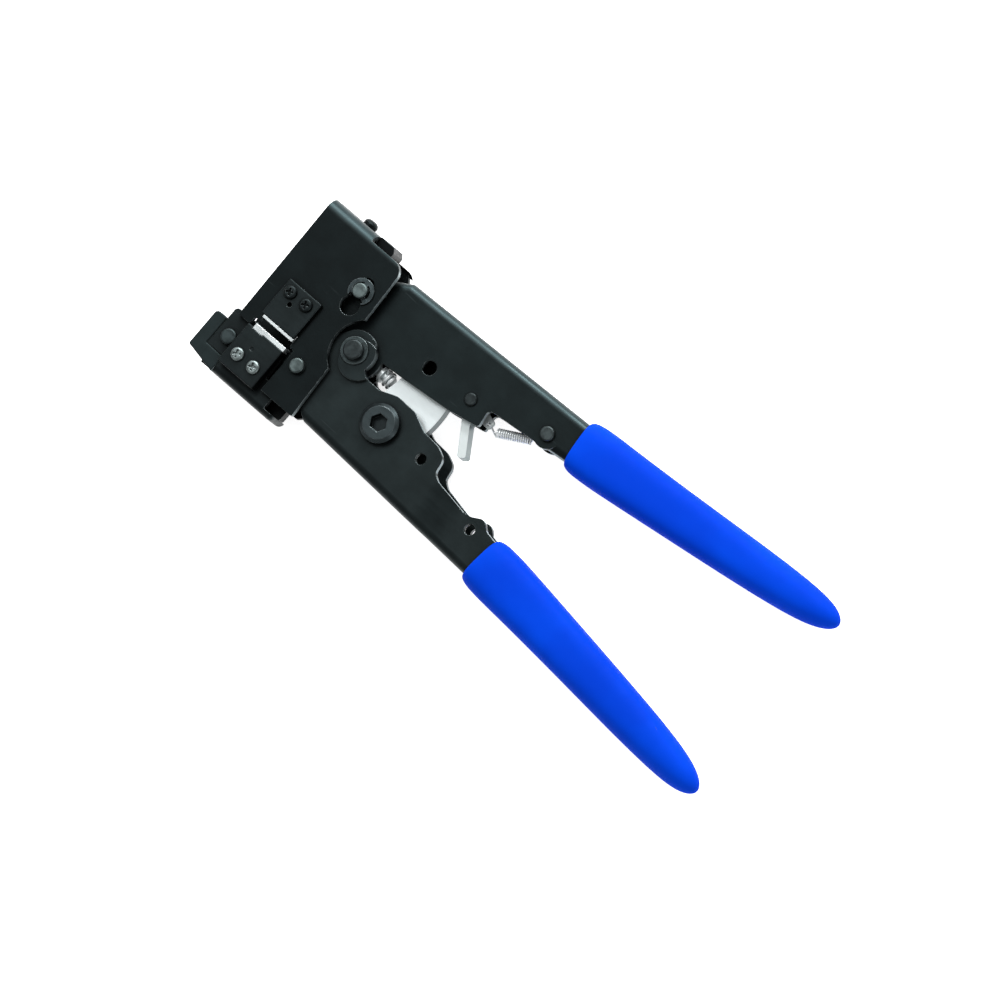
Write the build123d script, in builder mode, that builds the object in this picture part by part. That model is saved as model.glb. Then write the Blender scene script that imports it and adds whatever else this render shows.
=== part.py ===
"""Hand crimping tool for small wire splices, modelled as the pieces it is assembled from.

Frame: the tool lies on the outer face of its rear housing plate. That face is z = 0 and +Z
points out of the front plate. +X runs along the handles and +Y is the way the moving jaw
travels. The origin is midway between the jaw pin above and the lower handle pin below.
All lengths are in millimetres, and the handles stand open, which is their rest position.
"""
from build123d import *
from math import cos, radians, sin
import os

os.makedirs("parts", exist_ok=True)

# ---- driving dimensions ----
SHEET = 2.2  # thickness of every stamped plate
RUN = 0.1  # side clearance between plates that slide on each other
SIDE = 0.05  # side clearance of a spacer or washer
MID_Z = 10.0  # middle plane of the tool
FIT = 0.05  # radial clearance of a running pin
OPEN_FIT = 0.15  # larger clearance at the pin where the linkage is left open

PIN_Y = 16.7  # jaw pin above and lower handle pin below the x axis
PIVOT_X = 11.6  # main pivot between the two handles
PIN_R = 2.4  # shank of the jaw pin and of the lower handle pin
PIVOT_R = 2.5  # shank of the main pivot pin
TRAVEL = 3.0  # room left for the stroke of the moving jaw

# half thickness of each layer, measured from the middle plane
UPPER_IN = 3.2
UPPER_OUT = UPPER_IN + SHEET
LOWER_IN = UPPER_OUT + RUN
LOWER_OUT = LOWER_IN + SHEET
HOUSE_IN = LOWER_OUT + RUN
HOUSE_OUT = HOUSE_IN + SHEET
BAR_HALF = 2.3  # draw bar and ratchet plate, inside the upper handle
PAWL_HALF = 2.9

FRONT_Z = MID_Z + HOUSE_OUT  # outer face of the front housing plate
JAW_Z = MID_Z + LOWER_OUT  # outer face of the moving jaw's front plate
BACK_Z = MID_Z - LOWER_OUT  # outer face of the lower handle and jaw at the back
DIE_Z = FRONT_Z + 1.8  # outer face of both die blocks

# housing
HOUSE_LEFT = -28.75  # left edge where it crosses the x axis
LEFT_LEAN = 0.02
HOUSE_TOP = 34.95
HOUSE_BOTTOM = -31.0
HOUSE_BEND = 4.4
SHOULDER_Y = 32.1  # top of the flat plate beside the end wall
WALL_RIGHT = -9.4  # where the bent end wall stops
WINDOW_RIGHT = -4.6  # the jaw window is open to the left and below
WINDOW_TOP = -13.5  # beside the dies
WINDOW_STEP = -23.3  # further left the plate reaches down over the jaw
OVERLAP_Y = -16.4
REAR_X = 8.2  # rear edge where it crosses the x axis
REAR_LEAN = 0.057
CUTOUT_X, CUTOUT_Y, CUTOUT_R = 15.5, 0.4, 12.5
REAR_CORNERS = (  # triangles cut off the rear plate, above and below the handles
    ((1.0, 33.5), (9.0, 24.0), (9.0, 33.5)),
    ((4.5, -32.0), (12.0, -32.0), (12.0, -25.5)),
)
KEYHOLE_R = 3.6
END_SCREW_X, END_SCREW_R = -16.4, 1.2
KEYHOLE_DROP = 6.0

# nest between the dies
NEST_LEFT = -20.8
NEST_RIGHT = -6.9
NEST_TOP = -11.75
NEST_BOTTOM = -14.7
NEST_DEPTH_Z = MID_Z + 1.0  # how deep the inserts reach
LIP_UPPER = 1.0  # visible width of the upper insert
LIP_LOWER = 1.6  # visible width of the lower insert
SEAT_Y = -9.0  # top of the notch that holds the upper insert
SCREW_LEFT, SCREW_RIGHT = -18.6, -11.3  # the two screws in each die block
SCREW_R = 2.4
SCREW_SHANK_R = 1.25
UPPER_SCREW_Y, LOWER_SCREW_Y = 0.8, -26.9

# moving jaw
JAW_LEFT = -31.3
JAW_TOP = -14.8
JAW_SIDE = -6.9  # right side of the jaw's plates beside the lower handle
JAW_STRIP = -0.4  # right end of the strip along its bottom
JAW_STRIP_TOP = -27.0
JAW_BOTTOM = -37.3
JAW_BEND = 2.6
WEB_RIGHT = 4.4
BAR_X = 5.0  # half width of the draw bar
BAR_TOP = 22.0
BAR_FOOT_X = -8.0  # left end of its foot on the web
LUG_LEFT = -36.2
LOCATOR_X, LOCATOR_Y, LOCATOR_R = -26.3, -24.5, 1.8  # pin through the locating lug

# end block behind the end wall of the housing
BLOCK_LEFT, BLOCK_RIGHT = -20.0, -1.6
BLOCK_BOTTOM = 28.6
BLOCK_TOP = 35.3

# handles, measured from the main pivot
UPPER_FRONT_X, UPPER_FRONT_Y = -1.0, 30.3  # where the spine of the upper handle begins
LOWER_FRONT_X, LOWER_FRONT_Y = 1.6, -29.7
BEND_R = 3.0
HEAD_BOSS_R = 6.2  # round end of a handle at its pin in the head
UPPER_BOSS_R, LOWER_BOSS_R = 9.5, 7.6  # rounding of each handle at the main pivot
RING_R = 4.4  # spacers and washers on the two pins in the head
TANG_X, TANG_Y = 81.2, 25.6  # where the grip starts, on its centre line
TANG_ANGLE = 5.7
TANG_LENGTH = 90.0
TANG_START, TANG_END = 7.6, 4.6  # half widths of the tang inside the grip
TANG_TAPER = (TANG_START - TANG_END) / TANG_LENGTH
SPINE_LOW_Y = 27.0  # every edge of a spine lies further out than this
JOGGLE_X, JOGGLE_END = 54.0, 65.0  # where the lower handle steps in to the upper width
JOGGLE_R = 20.0
BOLT_X, BOLT_Y, BOLT_R = 24.0, -13.1, 3.0
BOLT_STUB = 2.0  # how far the bolt passes the back plate, and the height of its nut
PAD_X, PAD_Y, PAD_R, PAD_H = 3.2, -1.6, 7.2, 1.3  # raised pad round the main pivot
PAWL_X, PAWL_Y = 42.1, 13.3
SPRING_X, SPRING_Y = 71.1, 21.5
PAWL_PIN_R = 1.8
RATCHET_R = 37.0
TOOTH_START, TOOTH_PITCH, TOOTH_COUNT, TOOTH_DEPTH = 10.5, 2.6, 6, 1.1
EAR_X, EAR_Y = 51.0, 10.8  # where the spring hooks into the pawl

# grips
GRIP_SHAPE = (  # distance along the grip, half width, half thickness
    (0.0, 9.2, 6.9),
    (2.4, 9.9, 7.5),
    (8.0, 10.1, 7.6),
    (40.0, 9.0, 7.4),
    (80.0, 7.8, 6.9),
    (98.0, 6.6, 6.0),
    (107.0, 4.9, 4.6),
    (112.3, 1.6, 1.6),
)


def slab(half):
    """Plane under a slab of the given half thickness about the middle plane."""
    return Plane.XY.offset(MID_Z - half)


def at_pivot(z):
    """Plane at height z with its origin on the main pivot."""
    return Plane((PIVOT_X, 0, z))


def disc(x, y, radius, plane):
    """Round disc sketch for a pin, hole, washer or boss."""
    with BuildSketch(plane) as sketch:
        with Locations((x, y)):
            Circle(radius)
    return sketch.sketch


def outline(plane, points, radii):
    """Closed outline with its own corner radius at every point."""
    with BuildSketch(plane) as sketch:
        with BuildLine():
            FilletPolyline(*points, radius=radii, close=True)
        make_face()
    return sketch.sketch


def tang_point(along, across, side):
    """Pivot coordinates of a point measured from the grip's centre line."""
    angle = radians(TANG_ANGLE)
    x = TANG_X + along * cos(angle) - across * sin(angle)
    y = TANG_Y + along * sin(angle) + across * cos(angle)
    return (x, side * y)


def finish(part, name):
    """Label a finished piece and write its STEP file."""
    part.label = name
    export_step(part, f"parts/{name}.step")


# ================================================================ fixed head
def channel(plane, top, bend, half, low):
    """Side outline of a folded plate that is open towards low."""
    way = 1 if top > low else -1
    with BuildSketch(plane) as sketch:
        with BuildLine():
            Line((low, MID_Z - half), (top - way * bend, MID_Z - half))
            RadiusArc((top - way * bend, MID_Z - half), (top, MID_Z - half + bend), -way * bend)
            Line((top, MID_Z - half + bend), (top, MID_Z + half - bend))
            RadiusArc((top, MID_Z + half - bend), (top - way * bend, MID_Z + half), -way * bend)
            Line((top - way * bend, MID_Z + half), (low, MID_Z + half))
            Line((low, MID_Z + half), (low, MID_Z - half))
        make_face()
    return sketch.sketch


def left_edge(y):
    """Point on the left edge of the housing, which leans outwards to the top."""
    return (HOUSE_LEFT - LEFT_LEAN * y, y)


def rear_edge(y):
    """Point on the rear edge of the housing, which leans forwards to the top."""
    return (REAR_X - REAR_LEAN * y, y)


side_plane = Plane.YZ.offset(HOUSE_LEFT - 3)
with BuildPart() as housing:
    extrude(channel(side_plane, HOUSE_TOP, HOUSE_BEND, HOUSE_OUT, 2 * HOUSE_BOTTOM), amount=60)
    inner = channel(side_plane, HOUSE_TOP - SHEET, HOUSE_BEND - SHEET, HOUSE_IN, 3 * HOUSE_BOTTOM)
    extrude(inner, amount=60, mode=Mode.SUBTRACT)
    plan = outline(
        Plane.XY,
        (
            left_edge(HOUSE_BOTTOM),
            rear_edge(HOUSE_BOTTOM),
            rear_edge(SHOULDER_Y),
            (WALL_RIGHT, SHOULDER_Y),
            (WALL_RIGHT, HOUSE_TOP + 1),
            left_edge(HOUSE_TOP + 1),
        ),
        (1.0, 0.8, 4.6, 0.8, 0, 0),
    )
    extrude(plan, amount=2 * MID_Z, mode=Mode.INTERSECT)
    extrude(disc(CUTOUT_X, CUTOUT_Y, CUTOUT_R, Plane.XY), amount=2 * MID_Z, mode=Mode.SUBTRACT)
    # the rear plate is cut off at both of its rear corners
    for corner in REAR_CORNERS:
        cut = outline(Plane.XY, corner, (0, 0, 0))
        extrude(cut, amount=SHEET, mode=Mode.SUBTRACT)
    # window for the moving jaw and the die nest, in the front plate only
    window = outline(
        Plane.XY.offset(MID_Z),
        (
            (HOUSE_LEFT - 2, HOUSE_BOTTOM - 2),
            (WINDOW_RIGHT, HOUSE_BOTTOM - 2),
            (WINDOW_RIGHT, WINDOW_TOP),
            (NEST_RIGHT + 0.1, WINDOW_TOP),
            (NEST_RIGHT + 0.1, SEAT_Y),
            (NEST_LEFT - 0.1, SEAT_Y),
            (NEST_LEFT - 0.1, WINDOW_TOP),
            (WINDOW_STEP, WINDOW_TOP),
            (WINDOW_STEP, OVERLAP_Y),
            (HOUSE_LEFT - 2, OVERLAP_Y),
        ),
        (0, 0, 0.8, 0.4, 0.2, 0.2, 0.2, 0.2, 0.2, 0),
    )
    extrude(window, amount=MID_Z + 1, mode=Mode.SUBTRACT)
    # keyhole slot that the jaw pin travels in
    with BuildSketch(Plane.XY.offset(MID_Z)):
        with Locations((0, PIN_Y - KEYHOLE_DROP)):
            Circle(KEYHOLE_R)
        with Locations((0, PIN_Y + (TRAVEL - KEYHOLE_DROP) / 2)):
            SlotCenterToCenter(TRAVEL + KEYHOLE_DROP, 2 * (PIN_R + OPEN_FIT), rotation=90)
    extrude(amount=MID_Z + 1, mode=Mode.SUBTRACT)
    # holes for the lower handle pin, the die screws and the end screw
    extrude(disc(0, -PIN_Y, PIN_R, Plane.XY), amount=2 * MID_Z, mode=Mode.SUBTRACT)
    above_middle = Plane.XY.offset(MID_Z)
    for x in (SCREW_LEFT, SCREW_RIGHT):
        extrude(disc(x, UPPER_SCREW_Y, SCREW_SHANK_R, above_middle), amount=MID_Z, mode=Mode.SUBTRACT)
    end_hole = Plane((END_SCREW_X, HOUSE_TOP - 4, MID_Z), x_dir=(1, 0, 0), z_dir=(0, 1, 0))
    extrude(disc(0, 0, END_SCREW_R, end_hole), amount=6, mode=Mode.SUBTRACT)
finish(housing.part, "housing")

BLOCK_HALF = HOUSE_IN - (HOUSE_BEND - SHEET) - RUN  # clears the bends inside the housing
with BuildPart() as end_block:
    plan = outline(
        slab(BLOCK_HALF),
        (
            (BLOCK_LEFT, BLOCK_BOTTOM),
            (BLOCK_RIGHT, BLOCK_BOTTOM),
            (BLOCK_RIGHT, BLOCK_TOP - 1.6),
            (BLOCK_RIGHT - 1.2, BLOCK_TOP),
            (WALL_RIGHT + 0.6, BLOCK_TOP),
            (WALL_RIGHT + 0.6, HOUSE_TOP - SHEET),
            (BLOCK_LEFT, HOUSE_TOP - SHEET),
        ),
        (0.5, 0.5, 0, 0, 0.4, 0, 0.5),
    )
    extrude(plan, amount=2 * BLOCK_HALF)
    extrude(disc(0, 0, END_SCREW_R, end_hole), amount=6, mode=Mode.SUBTRACT)
finish(end_block.part, "end_block")

with BuildPart() as end_screw:
    with BuildSketch(Plane((END_SCREW_X, 0, MID_Z), x_dir=(1, 0, 0), z_dir=(0, 0, 1))):
        with BuildLine():
            Line((0, 31.0), (END_SCREW_R, 31.0))
            Line((END_SCREW_R, 31.0), (END_SCREW_R, HOUSE_TOP))
            Line((END_SCREW_R, HOUSE_TOP), (2.7, HOUSE_TOP))
            Line((2.7, HOUSE_TOP), (2.7, HOUSE_TOP + 1.2))
            ThreePointArc((2.7, HOUSE_TOP + 1.2), (1.9, HOUSE_TOP + 2.2), (0.9, HOUSE_TOP + 2.5))
            Line((0.9, HOUSE_TOP + 2.5), (0, HOUSE_TOP + 2.5))
            Line((0, HOUSE_TOP + 2.5), (0, 31.0))
        make_face()
    revolve(axis=Axis((END_SCREW_X, 0, MID_Z), (0, 1, 0)))
    socket_plane = Plane((END_SCREW_X, HOUSE_TOP + 1.0, MID_Z), x_dir=(1, 0, 0), z_dir=(0, 1, 0))
    with BuildSketch(socket_plane):
        RegularPolygon(1.0, 6)
    extrude(amount=2, mode=Mode.SUBTRACT)
finish(end_screw.part, "end_screw")


# ================================================================ dies
def die_block(left, right, low, high, bottom_z, holes):
    """Die block with one screw hole for each place in holes and soft outer edges."""
    with BuildPart() as block:
        corners = ((left, low), (right, low), (right, high), (left, high))
        extrude(outline(Plane.XY.offset(bottom_z), corners, (0.4,) * 4), amount=DIE_Z - bottom_z)
        fillet(block.faces().sort_by(Axis.Z)[-1].edges(), 0.3)
        for x, y, radius in holes:
            hole = disc(x, y, radius, Plane.XY.offset(bottom_z))
            extrude(hole, amount=DIE_Z - bottom_z, mode=Mode.SUBTRACT)
    return block.part


def die_screws(y, tip_z):
    """The two pan head screws of a die block, with cross recesses."""
    with BuildPart() as screws:
        for x in (SCREW_LEFT, SCREW_RIGHT):
            extrude(disc(x, y, SCREW_SHANK_R, Plane.XY.offset(tip_z)), amount=DIE_Z - tip_z)
            extrude(disc(x, y, SCREW_R, Plane.XY.offset(DIE_Z)), amount=1.2)
        fillet(screws.edges().filter_by(GeomType.CIRCLE).group_by(Axis.Z)[-1], 0.75)
        with BuildSketch(Plane.XY.offset(DIE_Z + 0.3)):
            with Locations((SCREW_LEFT, y), (SCREW_RIGHT, y)):
                Rectangle(2.9, 0.8, rotation=25)
                Rectangle(2.9, 0.8, rotation=115)
        extrude(amount=1, mode=Mode.SUBTRACT)
    return screws.part


upper_holes = (
    (SCREW_LEFT, UPPER_SCREW_Y, SCREW_SHANK_R),
    (SCREW_RIGHT, UPPER_SCREW_Y, SCREW_SHANK_R),
    (-16.0, -2.6, 0.9),
)
upper_die_block = die_block(-22.0, -7.0, NEST_TOP + LIP_UPPER, 4.45, FRONT_Z, upper_holes)
finish(upper_die_block, "upper_die_block")
finish(die_screws(UPPER_SCREW_Y, MID_Z + 6.5), "upper_die_screws")

with BuildPart() as upper_die_insert:
    # nose that shows beside the nest, and a root clamped in the notch of the housing plate
    with BuildSketch(Plane.YZ.offset(NEST_LEFT)):
        with BuildLine():
            Polyline(
                (NEST_TOP, NEST_DEPTH_Z),
                (SEAT_Y - 0.05, NEST_DEPTH_Z),
                (SEAT_Y - 0.05, FRONT_Z),
                (NEST_TOP + LIP_UPPER, FRONT_Z),
                (NEST_TOP + LIP_UPPER, DIE_Z - 0.3),
                (NEST_TOP, DIE_Z - 0.3),
                close=True,
            )
        make_face()
    extrude(amount=NEST_RIGHT - NEST_LEFT)
    # comb of contact punches on the face that meets the splice
    with BuildSketch(Plane.XY.offset(NEST_DEPTH_Z)):
        with Locations(((NEST_LEFT + NEST_RIGHT) / 2, NEST_TOP)):
            with GridLocations(1.27, 1, 7, 1):
                Rectangle(0.5, 0.8)
    extrude(amount=7.5, mode=Mode.SUBTRACT)
finish(upper_die_insert.part, "upper_die_insert")

lower_low, lower_high = -32.8, NEST_BOTTOM - LIP_LOWER
lower_holes = (
    (SCREW_LEFT, LOWER_SCREW_Y, SCREW_SHANK_R),
    (SCREW_RIGHT, LOWER_SCREW_Y, SCREW_SHANK_R),
)
with BuildPart() as lower_die_block:
    add(die_block(-23.0, -6.9, lower_low, lower_high, JAW_Z, lower_holes))
    # the insert's thicker end lies in a shallow step, and a dimple marks the middle
    with BuildSketch(Plane.XY.offset(JAW_Z)):
        with Locations((NEST_LEFT + 2.3, lower_high)):
            Rectangle(5.0, 1.1)
    extrude(amount=10, mode=Mode.SUBTRACT)
    extrude(disc(-16.0, -22.4, 0.8, Plane.XY.offset(DIE_Z - 0.3)), amount=1, mode=Mode.SUBTRACT)
finish(lower_die_block.part, "lower_die_block")
finish(die_screws(LOWER_SCREW_Y, MID_Z + 3.0), "lower_die_screws")

with BuildPart() as lower_die_insert:
    with BuildSketch(Plane.XY.offset(NEST_DEPTH_Z)):
        with BuildLine():
            Polyline(
                (NEST_LEFT, NEST_BOTTOM),
                (NEST_RIGHT, NEST_BOTTOM),
                (NEST_RIGHT, lower_high),
                (NEST_LEFT + 4.7, lower_high),
                (NEST_LEFT + 4.3, lower_high - 0.5),
                (NEST_LEFT, lower_high - 0.5),
                close=True,
            )
        make_face()
    extrude(amount=DIE_Z - 0.3 - NEST_DEPTH_Z)
finish(lower_die_insert.part, "lower_die_insert")


# ================================================================ moving jaw
JAW_PLAN = (
    (JAW_LEFT, JAW_BOTTOM - 1),
    (WEB_RIGHT, JAW_BOTTOM - 1),
    (WEB_RIGHT, JAW_BOTTOM + SHEET),
    (JAW_STRIP, JAW_BOTTOM + SHEET),
    (JAW_STRIP, JAW_STRIP_TOP),
    (JAW_SIDE, JAW_STRIP_TOP),
    (JAW_SIDE, JAW_TOP),
    (JAW_LEFT, JAW_TOP),
)
web_plane = Plane.YZ.offset(JAW_LEFT - 1)
with BuildPart() as moving_jaw:
    extrude(channel(web_plane, JAW_BOTTOM, JAW_BEND, LOWER_OUT, 0), amount=60)
    inner = channel(web_plane, JAW_BOTTOM + SHEET, JAW_BEND - SHEET, LOWER_IN, 10)
    extrude(inner, amount=60, mode=Mode.SUBTRACT)
    plan = outline(Plane.XY, JAW_PLAN, (0, 0, 0, 0, 0.8, 1.0, 1.0, 1.5))
    extrude(plan, amount=2 * MID_Z, mode=Mode.INTERSECT)
    fillet(moving_jaw.edges().filter_by(Axis.Z).group_by(Axis.X)[-1].sort_by(Axis.Y)[0], 2.0)
    # clearance for the inserts, and for the locating lug at the lower left corner
    with BuildSketch(Plane.XY.offset(MID_Z)):
        with Locations(((NEST_LEFT + NEST_RIGHT) / 2, JAW_TOP - 1)):
            Rectangle(NEST_RIGHT - NEST_LEFT + 0.1, 2 * (JAW_TOP - 1 - lower_high + 0.55))
        with Locations((-29, -34.9)):
            Rectangle(11.2, 8.2)
    extrude(amount=MID_Z, mode=Mode.SUBTRACT)
    for x in (SCREW_LEFT, SCREW_RIGHT):
        extrude(disc(x, LOWER_SCREW_Y, SCREW_SHANK_R, above_middle), amount=MID_Z, mode=Mode.SUBTRACT)
    locator_hole = disc(LOCATOR_X, LOCATOR_Y, LOCATOR_R, above_middle)
    extrude(locator_hole, amount=MID_Z, mode=Mode.SUBTRACT)
    # slot in the web for the foot of the draw bar
    with BuildSketch(slab(BAR_HALF)):
        with Locations((0, JAW_BOTTOM)):
            Rectangle(6.0, 3 * SHEET)
    extrude(amount=2 * BAR_HALF, mode=Mode.SUBTRACT)
finish(moving_jaw.part, "moving_jaw")

with BuildPart() as draw_bar:
    bar = outline(
        slab(BAR_HALF),
        (
            (-3.0, JAW_BOTTOM),
            (3.0, JAW_BOTTOM),
            (3.0, JAW_BOTTOM + SHEET),
            (BAR_X, JAW_BOTTOM + SHEET),
            (BAR_X, BAR_TOP),
            (-BAR_X, BAR_TOP),
            (-BAR_X, JAW_STRIP_TOP),
            (BAR_FOOT_X, JAW_STRIP_TOP),
            (BAR_FOOT_X, JAW_BOTTOM + SHEET),
            (-3.0, JAW_BOTTOM + SHEET),
        ),
        (0.5, 0.5, 0, 0.8, 2.5, 2.5, 1.5, 0.8, 0.8, 0),
    )
    extrude(bar, amount=2 * BAR_HALF)
    extrude(disc(0, PIN_Y, PIN_R, slab(BAR_HALF)), amount=2 * BAR_HALF, mode=Mode.SUBTRACT)
    with BuildSketch(slab(BAR_HALF)):
        with Locations((0, -PIN_Y - TRAVEL / 2)):
            SlotCenterToCenter(TRAVEL, 2 * (PIN_R + FIT), rotation=90)
    extrude(amount=2 * BAR_HALF, mode=Mode.SUBTRACT)
finish(draw_bar.part, "draw_bar")

LUG_LOW_Z = MID_Z + LOWER_IN - 3.0
LUG_TOP_Z = JAW_Z + 0.3
with BuildPart() as locator_lug:
    lug = outline(
        Plane.XY.offset(LUG_LOW_Z),
        (
            (LUG_LEFT, -35.0),
            (-23.5, -37.4),
            (-23.5, -31.0),
            (JAW_LEFT - 0.1, -30.8),
            (JAW_LEFT - 0.1, -19.9),
            (LUG_LEFT, -19.9),
        ),
        (0.8, 0.4, 0.3, 0.3, 0.5, 1.5),
    )
    extrude(lug, amount=LUG_TOP_Z - LUG_LOW_Z)
    fillet(locator_lug.faces().sort_by(Axis.Z)[-1].edges(), 0.35)
    # tongue under the jaw's front plate, where the locator pin holds the lug
    tongue = outline(
        Plane.XY.offset(LUG_LOW_Z),
        ((LUG_LEFT + 1, -30.9), (-22.6, -30.9), (-22.6, -21.0), (LUG_LEFT + 1, -21.0)),
        (0, 1, 1, 0),
    )
    extrude(tongue, amount=3.0 - SIDE)
    extrude(locator_hole, amount=MID_Z, mode=Mode.SUBTRACT)
finish(locator_lug.part, "locator_lug")


def headed_pin(x, y, shank_r, low_z, head_z, head):
    """Pin with a slightly domed head on top; head is its radius, height and rounding."""
    head_r, head_h, dome = head
    with BuildPart() as pin:
        extrude(disc(x, y, shank_r, Plane.XY.offset(low_z)), amount=head_z - low_z)
        extrude(disc(x, y, head_r, Plane.XY.offset(head_z)), amount=head_h)
        fillet(pin.faces().sort_by(Axis.Z)[-1].edges(), dome)
    return pin.part


locator_pin = headed_pin(LOCATOR_X, LOCATOR_Y, LOCATOR_R, LUG_LOW_Z, JAW_Z, (2.9, 1.9, 0.7))
finish(locator_pin, "locator_pin")

CLIP_Z = FRONT_Z + SIDE
CLIP_T = 0.6
with BuildPart() as jaw_pin:
    low_z = BACK_Z + RUN
    extrude(disc(0, PIN_Y, PIN_R, Plane.XY.offset(low_z)), amount=CLIP_Z + 2.1 - low_z)
    groove = disc(0, PIN_Y, PIN_R, Plane.XY.offset(CLIP_Z))
    extrude(groove, amount=CLIP_T, mode=Mode.SUBTRACT)
    extrude(disc(0, PIN_Y, PIN_R - 0.5, Plane.XY.offset(CLIP_Z)), amount=CLIP_T)
    extrude(disc(0, PIN_Y, 2.7, Plane.XY.offset(CLIP_Z + CLIP_T)), amount=1.7)
    fillet(jaw_pin.faces().sort_by(Axis.Z)[-1].edges(), 0.5)
finish(jaw_pin.part, "jaw_pin")

with BuildPart() as jaw_pin_clip:
    with BuildSketch(Plane.XY.offset(CLIP_Z)):
        with Locations((0, PIN_Y)):
            Circle(4.7)
            Circle(3.3, mode=Mode.SUBTRACT)
        with Locations((0, PIN_Y - 3.4)):
            Rectangle(6.0, 4.4, mode=Mode.SUBTRACT)
        # three inner teeth that grip the groove
        with Locations((0, PIN_Y)):
            with PolarLocations(2.75, 3, start_angle=-30):
                Rectangle(1.7, 1.5)
            Circle(PIN_R - 0.5, mode=Mode.SUBTRACT)
    extrude(amount=CLIP_T)
finish(jaw_pin_clip.part, "jaw_pin_clip")

lower_handle_pin = headed_pin(0, -PIN_Y, PIN_R, 0, FRONT_Z, (2.7, 1.9, 0.6))
finish(lower_handle_pin, "lower_handle_pin")

with BuildPart() as pin_spacers:
    ring_depth = LOWER_IN - BAR_HALF - 2 * SIDE
    for z in (MID_Z - LOWER_IN + SIDE, MID_Z + BAR_HALF + SIDE):
        extrude(disc(0, -PIN_Y, RING_R, Plane.XY.offset(z)), amount=ring_depth)
    extrude(disc(0, -PIN_Y, PIN_R, Plane.XY), amount=2 * MID_Z, mode=Mode.SUBTRACT)
finish(pin_spacers.part, "pin_spacers")

with BuildPart() as jaw_pin_washers:
    ring_depth = UPPER_IN - BAR_HALF - 2 * SIDE
    for z in (MID_Z - UPPER_IN + SIDE, MID_Z + BAR_HALF + SIDE):
        extrude(disc(0, PIN_Y, RING_R, Plane.XY.offset(z)), amount=ring_depth)
    extrude(disc(0, PIN_Y, PIN_R, Plane.XY), amount=2 * MID_Z, mode=Mode.SUBTRACT)
finish(jaw_pin_washers.part, "jaw_pin_washers")


# ================================================================ handles
def link(x1, y1, r1, x2, y2, r2, plane):
    """Outline hull round two bosses."""
    with BuildSketch(plane) as sketch:
        with Locations((x1, y1)):
            Circle(r1)
        with Locations((x2, y2)):
            Circle(r2)
        make_hull()
    return sketch.sketch


def spine_y(x, side):
    """Outer face of a spine, which runs straight from its front to the start of the tang."""
    front_x, front_y = (UPPER_FRONT_X, UPPER_FRONT_Y) if side > 0 else (LOWER_FRONT_X, LOWER_FRONT_Y)
    end_x, end_y = tang_point(0, TANG_START, side)
    return front_y + (end_y - front_y) * (x - front_x) / (end_x - front_x)


def hollow_plan(plane, side):
    """Everything between the plates of a handle, up to the inner face of its spine."""
    far = 20.0
    start_x, start_y = tang_point(0, TANG_START, side)
    points = (
        (-far, spine_y(-far, side) - side * SHEET),
        (start_x, start_y - side * SHEET),
        tang_point(TANG_LENGTH + far, TANG_END - SHEET - TANG_TAPER * far, side),
        tang_point(TANG_LENGTH + far, -2 * far, side),
        (-far, -side * far),
    )
    return outline(plane, points, (0,) * len(points))


def upper_plan(plane):
    """Outline of the upper handle."""
    points = (
        (UPPER_FRONT_X, UPPER_FRONT_Y),
        tang_point(0, TANG_START, 1),
        tang_point(TANG_LENGTH, TANG_END, 1),
        tang_point(TANG_LENGTH, -TANG_END, 1),
        tang_point(0, -TANG_START, 1),
        (53.0, 15.1),
        (49.4, 14.6),
        (50.4, 7.9),
        (38.0, 5.5),
        (19.0, 3.6),
        (6.0, 2.6),
        (-12.0, 10.0),
        (-12.0, 24.0),
    )
    radii = (0.8, 0, 1.5, 2.5, 0, 2.0, 1.6, 0.9, 0, 2.0, 0, 0, 0)
    return outline(plane, points, radii)


def spine_edges(part, side):
    """Long edges where the plates of a handle bend into its spine."""
    edges = part.edges().filter_by(Axis.Z, reverse=True)
    return edges.filter_by(lambda e: e.length > 8 and side * e.center().Y > SPINE_LOW_Y)


def arm_holes(holes, plane, depth):
    """Round through holes, given as x, y and radius from the main pivot."""
    for x, y, radius in holes:
        extrude(disc(x, y, radius, plane), amount=depth, mode=Mode.SUBTRACT)


with BuildPart() as upper_core:
    low = at_pivot(MID_Z - UPPER_IN)
    extrude(hollow_plan(low, 1), amount=2 * UPPER_IN)
    fillet(spine_edges(upper_core, 1), BEND_R - SHEET)

with BuildPart() as upper_handle:
    low = at_pivot(MID_Z - UPPER_OUT)
    extrude(upper_plan(low), amount=2 * UPPER_OUT)
    extrude(link(-PIVOT_X, PIN_Y, HEAD_BOSS_R, 0, 0, UPPER_BOSS_R, low), amount=2 * UPPER_OUT)
    extrude(disc(SPRING_X, SPRING_Y, 5.2, low), amount=2 * UPPER_OUT)
    fillet(spine_edges(upper_handle, 1), BEND_R)
    add(upper_core.part, mode=Mode.SUBTRACT)
    holes = (
        (-PIVOT_X, PIN_Y, PIN_R + OPEN_FIT),
        (0, 0, PIVOT_R + FIT),
        (PAWL_X, PAWL_Y, PAWL_PIN_R),
        (SPRING_X, SPRING_Y, PAWL_PIN_R),
    )
    arm_holes(holes, low, 2 * UPPER_OUT)
    # plain hole in the front plate only
    arm_holes(((23.4, 12.2, 2.6),), at_pivot(MID_Z), UPPER_OUT)
finish(upper_handle.part, "upper_handle")


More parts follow.
